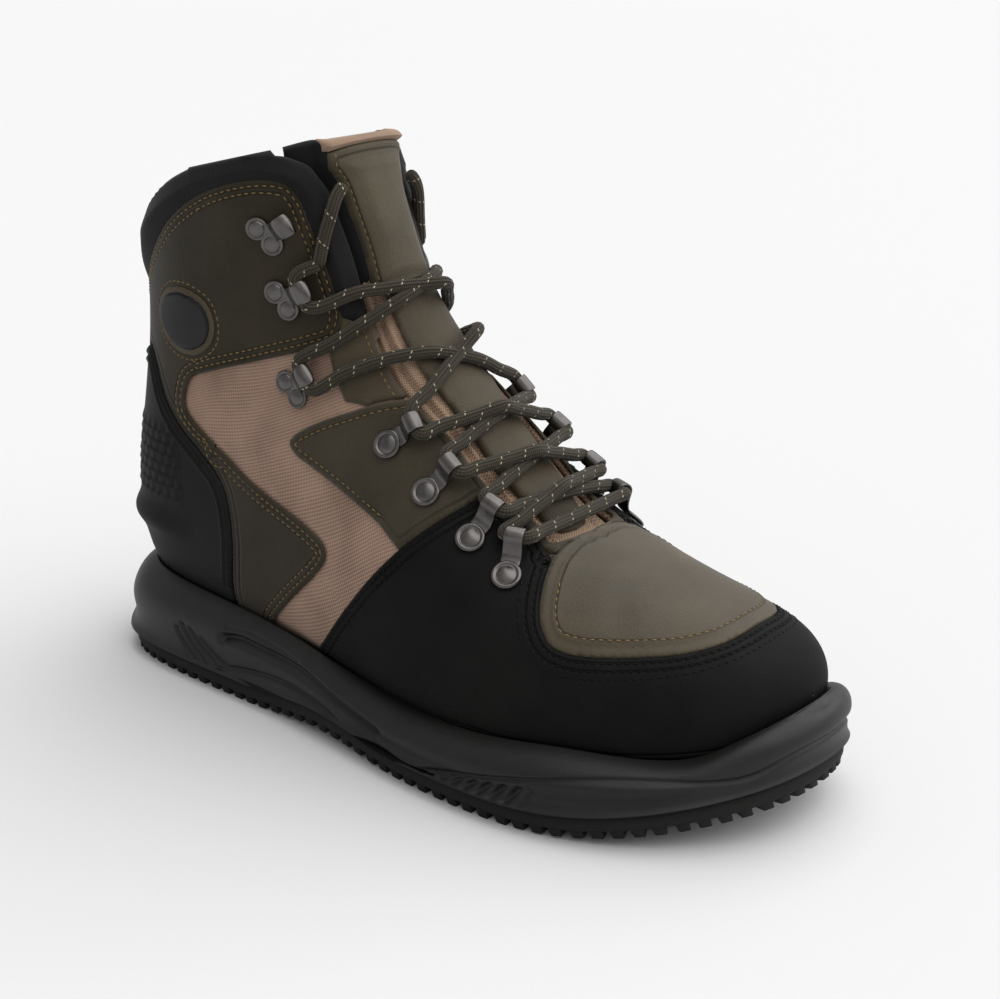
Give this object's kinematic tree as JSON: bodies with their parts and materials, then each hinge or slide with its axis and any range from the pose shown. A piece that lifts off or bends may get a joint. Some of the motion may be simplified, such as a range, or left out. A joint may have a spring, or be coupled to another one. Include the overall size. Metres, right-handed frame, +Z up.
{
  "type": "wading boot",
  "caption": "Laced ankle-high wading boot for the right foot, with a lugged rubber sole, a rubber toe rand and heel cup, and a padded collar.",
  "frame": {"origin": "middle of the sole's box, on the ground", "axes": "+Z up, the toe towards -Y and the heel towards +Y, the lateral side towards -X"},
  "size_m": [0.1235, 0.3262, 0.223],
  "materials": {
    "rubber": "matt moulded black",
    "foam": "fine-grained moulded foam",
    "neoprene": "knitted lining over foam",
    "nylon": "tight woven nylon",
    "leather": "microfibre synthetic leather",
    "metal": "brushed dark nickel",
    "lace": "round braided cord"
  },
  "bodies": {
    "root": {"outsole": "rubber", "midsole": "foam", "insole": "neoprene", "upper": "nylon", "collar": "neoprene", "ankle_panel": "leather", "heel_counter": "rubber", "quarter_lateral": "leather", "quarter_medial": "leather", "toe_rand": "rubber", "vamp_panel": "leather", "badge": "rubber", "tongue": "leather", "tongue_pad": "leather", "eyelet_lateral_1": "metal", "eyelet_lateral_2": "metal", "eyelet_lateral_3": "metal", "eyelet_lateral_4": "metal", "hook_lateral_1": "metal", "hook_lateral_2": "metal", "hook_lateral_3": "metal", "eyelet_medial_1": "metal", "eyelet_medial_2": "metal", "eyelet_medial_3": "metal", "eyelet_medial_4": "metal", "hook_medial_1": "metal", "hook_medial_2": "metal", "hook_medial_3": "metal", "lace_bar": "lace", "lace_cross_1": "lace", "lace_cross_2": "lace", "lace_cross_3": "lace", "lace_cross_4": "lace", "lace_cross_5": "lace", "lace_end_lateral": "lace", "lace_end_medial": "lace"}
  },
  "joints": []
}
